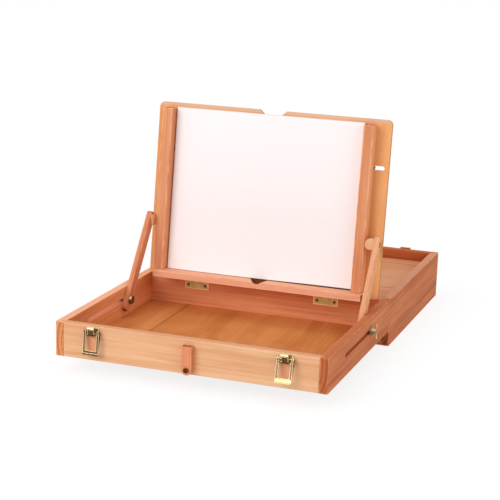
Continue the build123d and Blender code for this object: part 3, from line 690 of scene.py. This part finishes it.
def bead(shape, points, radius, face):
    """A round bead along a line of points, mitred at its corners and capped."""
    rings = []
    for i, point in enumerate(points):
        before = (point - points[i - 1]).normalized() if i else None
        after = (points[i + 1] - point).normalized() if i + 1 < len(points) else None
        ahead = ((before or after) + (after or before)).normalized()
        across = ahead.cross(face).normalized()
        stretch = 1 / max(0.5, ahead.dot(after or before))
        rings.append(bead_ring(shape, point, across * stretch, face, radius))
    for near, far in zip(rings, rings[1:]):
        skin(shape, near, far)
    shape.faces.new(rings[0])
    shape.faces.new(rings[-1][::-1])


def close_piece(shape, name, *finishes, angle=40):
    """The mesh as a finished object, its faces outward."""
    bmesh.ops.recalc_face_normals(shape, faces=shape.faces)
    data = bpy.data.meshes.new(name)
    shape.to_mesh(data)
    shape.free()
    for finish in finishes:
        data.materials.append(finish)
    smooth(data, angle)
    return new_piece(name, data)


# ----------------------------------------------------------------- latch trim
# The lever's pivot and the hook's pin are given by their y and z.
LEVER_PIVOT = (-0.4919, 0.0685)
LEVER_LEAN = {"left": math.radians(5), "right": math.radians(14)}
HOOK_PIN = {"left": (-0.491794, 0.0639735), "right": (-0.492504, 0.0640127)}
HOOK_LEAN = math.radians(-16)

# Each rolled edge is bent to a U: half its width, the height of its two ends
# and of its bend, and how far it stands out, in mm from the pivot or the pin;
# then the bead's radius.
FRAME_EDGES = ((11.55, -1.2, -30.2, 2.8, 0.00042), (8.7, -1.2, -26.9, 2.8, 0.00034))
HOOK_EDGES = ((4.55, 3.4, 10.4, 3.15, 0.0003),)


def roll_edges(name, origin, lean, edges, finish):
    """Beads along the edges of a leaning plate, as one piece."""
    out = Vector((0, -math.cos(lean), math.sin(lean)))
    up = Vector((0, math.sin(lean), math.cos(lean)))
    shape = bmesh.new()
    for half, near, far, stand, radius in edges:
        line = ((-half, near), (-half, far), (half, far), (half, near))
        points = [origin + (x * ACROSS + stand * out + rise * up) / 1000 for x, rise in line]
        bead(shape, points, radius, out)
    return close_piece(shape, name, finish)


def trim_latches(polished, muted):
    """Rolled edges of each lever's frame and of its hook plate."""
    for side, middle in zip(SIDES, LATCH_MIDDLES):
        finish = polished if side == "right" else muted
        pivot = Vector((middle, *LEVER_PIVOT))
        rolled = roll_edges(
            f"latch_frame_edge_{side}", pivot, LEVER_LEAN[side], FRAME_EDGES, finish
        )
        show(rolled, f"latch_lever_{side}", "brass")
        pin = Vector((middle, *HOOK_PIN[side]))
        rolled = roll_edges(f"latch_hook_edge_{side}", pin, HOOK_LEAN, HOOK_EDGES, finish)
        show(rolled, f"latch_hook_{side}", "brass")


# ---------------------------------------------------- screws and fluted knobs
SCREW_SIZES = {
    "Head Radius": 0.0024,
    "Head Height": 0.0008,
    "Slot Width": 0.0007,
    "Slot Depth": 0.0005,
}
SCREW_TURN = 2.2  # from one screw's slot to the next, in radians
KNOB_SIZES = {
    "Radius": 0.008,
    "Height": 0.007,
    "Flutes": 16.0,
    "Flute Depth": 0.0007,
    "Crown": 0.0006,
    "Bore": 0.0031,
}
KNOB_EASE = 0.00045  # how far the knob's two ends are drawn in


def socket_id(tree, name):
    return next(item.identifier for item in tree.interface.items_tree if item.name == name)


def new_tree(name, sizes):
    """A geometry tree with named inputs for its sizes and its finish."""
    tree = bpy.data.node_groups.new(name, "GeometryNodeTree")
    tree.is_modifier = True
    face = tree.interface
    face.new_socket("Geometry", in_out="OUTPUT", socket_type="NodeSocketGeometry")
    face.new_socket("Places", in_out="INPUT", socket_type="NodeSocketGeometry")
    for size in sizes:
        face.new_socket(size, in_out="INPUT", socket_type="NodeSocketFloat")
    face.new_socket("Finish", in_out="INPUT", socket_type="NodeSocketMaterial")
    bench = Bench(tree)
    given = bench.node("NodeGroupInput", out=None)
    inputs = {socket.name: Wire(bench, socket) for socket in given.outputs if socket.name}
    return tree, bench, inputs


def set_out(bench, given, part, turn_step):
    """Stand the part at every place, along its facing, and close the tree."""
    facing = bench.node(
        "GeometryNodeInputNamedAttribute", {"data_type": "FLOAT_VECTOR"}, {"Name": "facing"}
    )
    aligned = bench.node("FunctionNodeAlignRotationToVector", {"axis": "Z"}, {"Vector": facing})
    angle = bench.join(0.0, 0.0, bench.node("GeometryNodeInputIndex") * turn_step)
    spin = bench.node("FunctionNodeEulerToRotation", sockets={0: angle})
    turned = bench.node(
        "FunctionNodeRotateRotation",
        {"rotation_space": "LOCAL"},
        {"Rotation": aligned, "Rotate By": spin},
    )
    stood = bench.node(
        "GeometryNodeInstanceOnPoints",
        sockets={"Points": given["Places"], "Instance": part, "Rotation": turned},
    )
    real = bench.node("GeometryNodeRealizeInstances", sockets={0: stood})
    dressed = bench.node(
        "GeometryNodeSetMaterial", sockets={"Geometry": real, "Material": given["Finish"]}
    )
    bench.node("NodeGroupOutput", sockets={0: dressed}, out=None)


def screw_tree():
    """Domed screw heads with a driver slot."""
    tree, bench, given = new_tree("wood_screw_heads", SCREW_SIZES)
    radius, height = given["Head Radius"], given["Head Height"]
    head = bench.node(
        "GeometryNodeMeshCone",
        sockets={
            "Vertices": 20,
            "Side Segments": 3,
            "Fill Segments": 2,
            "Radius Top": radius * 0.3,
            "Radius Bottom": radius,
            "Depth": height,
        },
    )
    x, y, z = bench.split(bench.node("GeometryNodeInputPosition"))
    from_axis = ((x * x + y * y) / (radius * radius)).smaller(1.0)
    domed = bench.join(x, y, height * (1 - from_axis * from_axis).root())
    lifted = bench.node(
        "FunctionNodeCompare",
        {"data_type": "FLOAT", "operation": "GREATER_THAN"},
        {0: z, 1: 0.00001},
    )
    head = bench.node(
        "GeometryNodeSetPosition",
        sockets={"Geometry": head, "Selection": lifted, "Position": domed},
    )
    cutter = bench.node(
        "GeometryNodeMeshCube",
        sockets={"Size": bench.join(radius * 3, given["Slot Width"], given["Slot Depth"] * 2)},
    )
    cutter = bench.node(
        "GeometryNodeTransform",
        sockets={"Geometry": cutter, "Translation": bench.join(0.0, 0.0, height)},
    )
    slotted = bench.node(
        "GeometryNodeMeshBoolean", {"operation": "DIFFERENCE"}, {0: head, 1: cutter}
    )
    set_out(bench, given, slotted, SCREW_TURN)
    return tree


def knob_tree():
    """A turned knob with fluted sides, a low crown and a bore."""
    tree, bench, given = new_tree("fluted_knob", KNOB_SIZES)
    radius, height, crown = given["Radius"], given["Height"], given["Crown"]
    body = bench.node(
        "GeometryNodeMeshCylinder",
        sockets={
            "Vertices": 120,
            "Side Segments": 6,
            "Fill Segments": 8,
            "Radius": radius,
            "Depth": height,
        },
    )
    x, y, z = bench.split(bench.node("GeometryNodeInputPosition"))
    far = (x * x + y * y).root() / radius
    angle = bench.node("ShaderNodeMath", {"operation": "ARCTAN2"}, {0: y, 1: x})
    scallop = (angle * given["Flutes"]).wave() * 0.5 + 0.5
    waist = z * 2 / height
    drawn_in = scallop * given["Flute Depth"] + waist * waist * waist * waist * KNOB_EASE
    shrink = 1 - drawn_in * far ** 6 / radius
    dish = crown * (1 - far * far)
    top = bench.ramp(z, 0.0, 0.0001)
    placed = bench.join(x * shrink, y * shrink, z + height / 2 + top * (dish - crown))
    body = bench.node("GeometryNodeSetPosition", sockets={"Geometry": body, "Position": placed})
    drill = bench.node(
        "GeometryNodeMeshCylinder",
        sockets={"Vertices": 40, "Radius": given["Bore"], "Depth": height * 4},
    )
    bored = bench.node(
        "GeometryNodeMeshBoolean", {"operation": "DIFFERENCE"}, {0: body, 1: drill}
    )
    set_out(bench, given, bored, 0.0)
    return tree


def grow(tree, name, places, facings, sizes, finish):
    """Run a tree on some places and keep its result as a plain mesh."""
    seeds = bpy.data.meshes.new(f"{name}_places")
    seeds.from_pydata([tuple(place) for place in places], [], [])
    along = seeds.attributes.new("facing", "FLOAT_VECTOR", "POINT")
    for i, facing in enumerate(facings):
        along.data[i].vector = facing
    piece = new_piece(name, seeds)
    work = piece.modifiers.new("work", "NODES")
    work.node_group = tree
    for size, value in sizes.items():
        work[socket_id(tree, size)] = value
    work[socket_id(tree, "Finish")] = finish
    ready = piece.evaluated_get(bpy.context.evaluated_depsgraph_get())
    data = bpy.data.meshes.new_from_object(ready)
    piece.modifiers.clear()
    piece.data = data
    data.name = name
    smooth(data, 32)
    return piece


def on_easel(x, stand, rise):
    """Place on the leaning board: across, out of its face, and up from its axis, in mm."""
    return EASEL_AXIS + (x * ACROSS + stand * EASEL_OUT + rise * EASEL_UP) / 1000


# The rows of screws that ride each body: the middles of the fittings, how far
# the two screws of one stand to each side of its middle, the row's place as it
# is at x = 0, and the way the heads face.
SCREW_ROWS = {
    "shallow_tray": (
        (TRAY_HINGE_MIDDLES, 0.016, Vector((0, -0.16845, 0.0753)), UPRIGHT),
        (EASEL_HINGE_MIDDLES, 0.014, Vector((0, -0.1766, 0.06295)), -DEEPWAYS),
        (LATCH_MIDDLES, 0.00675, Vector((0, -0.4888, 0.06475)), -DEEPWAYS),
    ),
    "deep_tray": (
        (TRAY_HINGE_MIDDLES, 0.016, Vector((0, -0.15695, 0.0753)), UPRIGHT),
        (LATCH_MIDDLES, 0.0045, Vector((0, 0.1635, 0.0695)), DEEPWAYS),
    ),
    "easel": ((EASEL_HINGE_MIDDLES, 0.014, on_easel(0, -1.2, 11.3), -EASEL_OUT),),
}


def set_screws(finish):
    """Every wood screw that holds the fittings, one mesh for each body."""
    tree = screw_tree()
    for body, rows in SCREW_ROWS.items():
        places, facings = [], []
        for middles, reach, place, facing in rows:
            for x in (middle + end * reach for middle in middles for end in (-1, 1)):
                places.append(place + x * ACROSS)
                facings.append(facing)
        show(grow(tree, f"screws_{body}", places, facings, SCREW_SIZES, finish), body, "brass")


def turn_knobs(finish):
    """Fluted knobs on the rails' bolts, behind the board."""
    tree = knob_tree()
    for side in SIDES:
        bolt_low, bolt_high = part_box(f"rail_bolt_{side}")
        knob_low, knob_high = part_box(f"rail_knob_{side}")
        back = (knob_low + knob_high) / 2 + EASEL_OUT * (KNOB_SIZES["Height"] / 2)
        back.x = (bolt_low.x + bolt_high.x) / 2
        piece = grow(tree, f"fluted_knob_{side}", [back], [-EASEL_OUT], KNOB_SIZES, finish)
        show(piece, f"rail_knob_{side}", "brass", f"rail_knob_{side}")


# ----------------------------------------------- wing nuts, ledge and arrises
# A wing nut's hub and one wing: distance from the axis and out along it, in mm
# from the seat.
HUB = ((3.2, 0.0), (5.0, 0.0), (5.0, 1.2), (4.4, 2.4), (4.1, 5.8), (3.7, 6.4), (3.2, 6.4))
WING = (
    (3.6, 3.6), (5.4, 4.2), (7.8, 4.6), (9.6, 5.0), (10.7, 5.8), (11.0, 6.8),
    (10.7, 7.8), (9.8, 8.2), (8.6, 7.8), (6.6, 7.4), (3.6, 7.0),
)
HUB_SIDES = 28
WING_HALF = 1.3  # half a wing's thickness, in mm
WING_EDGE = 0.00045  # width of the rounding along a wing's edges
NUT_SEAT = 204.3  # from the box's middle, in mm

# The ledge: half its length, its foot and top above the axis, how far its back
# stands out, and its depth, in mm.
LEDGE_HALF, LEDGE_FOOT, LEDGE_TOP, LEDGE_BACK, LEDGE_DEPTH = 169.0, 2.6, 12.6, 6.0, 37.0

# The thumb scoop, from its back to its front: its middle, how far it reaches to
# each side, and its dip, in mm.
SCOOP_MIDDLE = (-4.8, 2.8)
SCOOP_REACH = (14.5, 6.6)
SCOOP_DIP = (7.0, 2.9)
SCOOP_CURVE = 2.3  # power of the curve of its cross-section
SCOOP_ROWS = 10
SCOOP_STEPS = 12  # points on each half of a cross-section
SCOOP_WALL = 0.03  # share of the ledge's depth that the steep back wall takes

# Width of the rounded arrises of the nodes whose names start so.
ARRIS_WIDTHS = {
    "deep_tray": 0.0011,
    "shallow_tray": 0.0011,
    "rail": 0.0014,
    "arm": 0.0012,
    "ledge": 0.0013,
    "pivot_block": 0.0008,
    "prop_leg": 0.0012,
    "easel_board": 0.0007,
}
SHORT_EDGE = 0.006  # shorter edges are parts of a curve and stay as they are


def turn_wing_nuts(hub_finish, wing_finish):
    """Pressed wing nuts: a turned hub and two flat wings with rounded tips."""
    angles = [2 * math.pi * k / HUB_SIDES for k in range(HUB_SIDES)]
    for side, way in zip(SIDES, (-1, 1)):
        shape = bmesh.new()

        def corner(out, rise, along):
            across = way * (NUT_SEAT + out)
            return shape.verts.new(Vector((across, ARM_FOOT[0] + along, ARM_FOOT[1] + rise)) / 1000)

        rings = [
            [corner(out, radius * math.sin(a), radius * math.cos(a)) for a in angles]
            for radius, out in HUB
        ]
        for near, far in zip(rings, rings[1:] + rings[:1]):
            skin(shape, near, far)
        for up in (-1, 1):
            front, back = (
                [corner(out, up * rise, depth) for rise, out in WING]
                for depth in (-WING_HALF, WING_HALF)
            )
            skin(shape, front, back)
            plates = [shape.faces.new(front), shape.faces.new(back[::-1])]
            edges = [edge for plate in plates for edge in plate.edges]
            for face in [near for edge in edges for near in edge.link_faces]:
                face.material_index = 1
            round_over(shape, edges, WING_EDGE)
        piece = close_piece(shape, f"pressed_wing_nut_{side}", hub_finish, wing_finish, angle=35)
        show(piece, f"wing_nut_{side}", "brass", f"wing_nut_{side}")


def between(ends, share):
    return ends[0] + (ends[1] - ends[0]) * share


def ledge_shape():
    """The ledge, with a thumb scoop that is deepest behind the panel's foot."""
    shape = bmesh.new()
    rings = []
    before = [(-LEDGE_HALF, LEDGE_FOOT), (LEDGE_HALF, LEDGE_FOOT), (LEDGE_HALF, LEDGE_TOP)]
    points = range(2 * SCOOP_STEPS + 1)
    for share in [0.0, SCOOP_WALL] + [row / SCOOP_ROWS for row in range(1, SCOOP_ROWS + 1)]:
        middle = between(SCOOP_MIDDLE, share)
        reach = between(SCOOP_REACH, share)
        dip = between(SCOOP_DIP, share) if share else 0.0
        outline = list(before)
        for k in points:
            t = 1 - k / SCOOP_STEPS
            outline.append((middle + reach * t, LEDGE_TOP - dip * (1 - abs(t) ** SCOOP_CURVE)))
        outline.append((-LEDGE_HALF, LEDGE_TOP))
        stand = LEDGE_BACK + LEDGE_DEPTH * share
        rings.append([shape.verts.new(on_easel(x, stand, rise)) for x, rise in outline])
    for near, far in zip(rings, rings[1:]):
        for k, face in enumerate(skin(shape, near, far)):
            # the scoop's faces take the second finish, painted dark as shade
            face.material_index = int(len(before) < k < len(before) + len(points))
    shape.faces.new(rings[0])
    shape.faces.new(rings[-1][::-1])
    bmesh.ops.recalc_face_normals(shape, faces=shape.faces)
    bmesh.ops.dissolve_limit(
        shape,
        angle_limit=math.radians(0.5),
        verts=shape.verts,
        edges=shape.edges,
        delimit={"MATERIAL"},
    )
    return shape


def node_shape(name):
    """A copy of a node's mesh, its triangles merged into flat faces."""
    shape = bmesh.new()
    shape.from_mesh(nodes[name].data)
    bmesh.ops.remove_doubles(shape, verts=shape.verts, dist=0.00001)
    bmesh.ops.dissolve_limit(
        shape, angle_limit=math.radians(1), verts=shape.verts, edges=shape.edges
    )
    return shape


def ease(name, width):
    """A wooden node's finer shape, with its arrises rounded over."""
    shape = ledge_shape() if name == "ledge" else node_shape(name)
    arrises = [
        edge
        for edge in shape.edges
        if len(edge.link_faces) == 2
        and edge.calc_length() > SHORT_EDGE
        and edge.calc_face_angle() > math.radians(35)
    ]
    round_over(shape, arrises, width)
    data = bpy.data.meshes.new(f"{name}_eased")
    shape.to_mesh(data)
    shape.free()
    for finish in nodes[name].data.materials:
        data.materials.append(finish)
    smooth(data, 40)
    piece = new_piece(f"{name}_eased", data)
    level = piece.modifiers.new("flat faces", "WEIGHTED_NORMAL")
    level.keep_sharp = True
    show(piece, nodes[name]["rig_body"], slots[name], name)


def ease_timber():
    for name in nodes:
        if "floor" in name or "bolt" in name or "knob" in name:
            continue
        for start, width in ARRIS_WIDTHS.items():
            if name.startswith(start):
                ease(name, width)


# ------------------------------------------------------- stage, light, camera
WHITE = (1, 1, 1, 1)
FLOOR_HALF = 1.6
FLOOR_GREY = (0.84, 0.84, 0.84, 1.0)  # what scattered light meets
SHADOW_GREY = (0.22, 0.22, 0.22, 1.0)  # the part that takes the box's shadow
FLOOR_GLOW = 0.83
PLOT_MIDDLE_Y = -0.16
PLOT_HALF = (0.2, 0.33)  # the shadow is whole on this plot
SHADOW_FADE = 0.11  # and fades into white over this width around it
AIR_LEVEL = 0.58

# Each lamp: its name, its place, what it points at, its width and its power.
LAMPS = (
    ("key_lamp", (-1.4, -2.8, 1.6), (0, -0.2, 0.1), 2.2, 50),
    ("fill_lamp", (2.4, -1.6, 1.0), (0, -0.1, 0.05), 2.0, 13),
    ("top_lamp", (-0.3, -0.3, 2.4), (0, -0.15, 0.0), 1.8, 6),
)

CAMERA_PLACE = (0.7346, -2.3297, 0.6966)
YAW, PITCH, ROLL = 0.338458, 0.243114, 0.0311355  # in radians
FOCAL_PIXELS, FRAME_PIXELS, SENSOR_MM = 1507.9155, 500, 36.0


def straight_rays(bench):
    """1 for what the camera sees, directly, in a reflection or through glass."""
    path = bench.node("ShaderNodeLightPath", out=None)
    camera, glossy, glass = (
        Wire(bench, path.outputs[f"Is {kind} Ray"]) for kind in ("Camera", "Glossy", "Transmission")
    )
    return camera.larger(glossy).larger(glass)


def mix_shaders(bench, share, under, over):
    return bench.node("ShaderNodeMixShader", sockets={0: share, 1: under, 2: over})


def lay_floor():
    """White floor that keeps the box's shadow and fades into the white around it."""
    sheet = bpy.data.meshes.new("studio_floor")
    corners = [(x * FLOOR_HALF, y * FLOOR_HALF, 0) for x, y in ((-1, -1), (1, -1), (1, 1), (-1, 1))]
    sheet.from_pydata(corners, [], [(0, 1, 2, 3)])
    floor = new_piece("studio_floor", sheet)
    finish, bench = new_finish("white_sweep")
    x, y, _ = bench.split(bench.node("ShaderNodeTexCoord", out="Object"))
    beside = (abs(x) - PLOT_HALF[0]).larger(0.0)
    beyond = (abs(y - PLOT_MIDDLE_Y) - PLOT_HALF[1]).larger(0.0)
    away = (beside * beside + beyond * beyond).root()
    matt = bench.node("ShaderNodeBsdfDiffuse", sockets={"Color": FLOOR_GREY})
    dull = bench.node("ShaderNodeBsdfDiffuse", sockets={"Color": SHADOW_GREY})
    glow = bench.node("ShaderNodeEmission", sockets={"Color": WHITE, "Strength": FLOOR_GLOW})
    shadowed = bench.node("ShaderNodeAddShader", sockets={0: dull, 1: glow})
    white = bench.node("ShaderNodeEmission", sockets={"Color": WHITE, "Strength": 1.0})
    seen = mix_shaders(bench, bench.ramp(away, 0.0, SHADOW_FADE), shadowed, white)
    shader = mix_shaders(bench, straight_rays(bench), matt, seen)
    below = bench.node("ShaderNodeNewGeometry", out="Backfacing")
    shader = mix_shaders(bench, below, shader, bench.node("ShaderNodeBsdfTransparent"))
    bench.node("ShaderNodeOutputMaterial", sockets={0: shader}, out=None)
    sheet.materials.append(finish)


def light_world():
    """Even white air: dim as a light, white where it is seen."""
    world = bpy.data.worlds.new("studio_air")
    world.use_nodes = True
    bench = Bench(world.node_tree)
    dim = bench.node("ShaderNodeBackground", sockets={"Color": WHITE, "Strength": AIR_LEVEL})
    white = bench.node("ShaderNodeBackground", sockets={"Color": WHITE, "Strength": 1.0})
    shader = mix_shaders(bench, straight_rays(bench), dim, white)
    bench.node("ShaderNodeOutputWorld", sockets={0: shader}, out=None)
    bpy.context.scene.world = world


def hang_lamp(name, place, target, size, power):
    lamp = bpy.data.lights.new(name, "AREA")
    lamp.shape = "DISK"
    lamp.size = size
    lamp.energy = power
    holder = new_piece(name, lamp)
    holder.location = place
    holder.rotation_euler = (Vector(target) - Vector(place)).to_track_quat("-Z", "Y").to_euler()


def set_camera():
    """Viewing angle: from the painter's right, a little above the easel."""
    ahead = Vector(
        (-math.sin(YAW) * math.cos(PITCH), math.cos(YAW) * math.cos(PITCH), -math.sin(PITCH))
    )
    side = Vector((math.cos(YAW), math.sin(YAW), 0))
    up = side.cross(ahead)
    right = math.cos(ROLL) * side + math.sin(ROLL) * up
    top = -math.sin(ROLL) * side + math.cos(ROLL) * up
    lens = bpy.data.cameras.new("camera")
    lens.sensor_width = SENSOR_MM
    lens.sensor_fit = "HORIZONTAL"
    lens.lens = FOCAL_PIXELS * SENSOR_MM / FRAME_PIXELS
    lens.clip_end = 50.0
    camera = new_piece("camera", lens)
    turn = Matrix((right, top, -ahead)).transposed()
    camera.matrix_world = Matrix.Translation(CAMERA_PLACE) @ turn.to_4x4()
    bpy.context.scene.camera = camera


set_camera()
dress_timber()
polished, muted, bronzed, nutted = dress_metal()
paint("panel", primed_board())
ease_timber()
trim_latches(polished, muted)
set_screws(bronzed)
turn_knobs(nutted)
turn_wing_nuts(nutted, polished)
lay_floor()
light_world()
for lamp in LAMPS:
    hang_lamp(*lamp)
bpy.context.scene.view_settings.view_transform = "Standard"
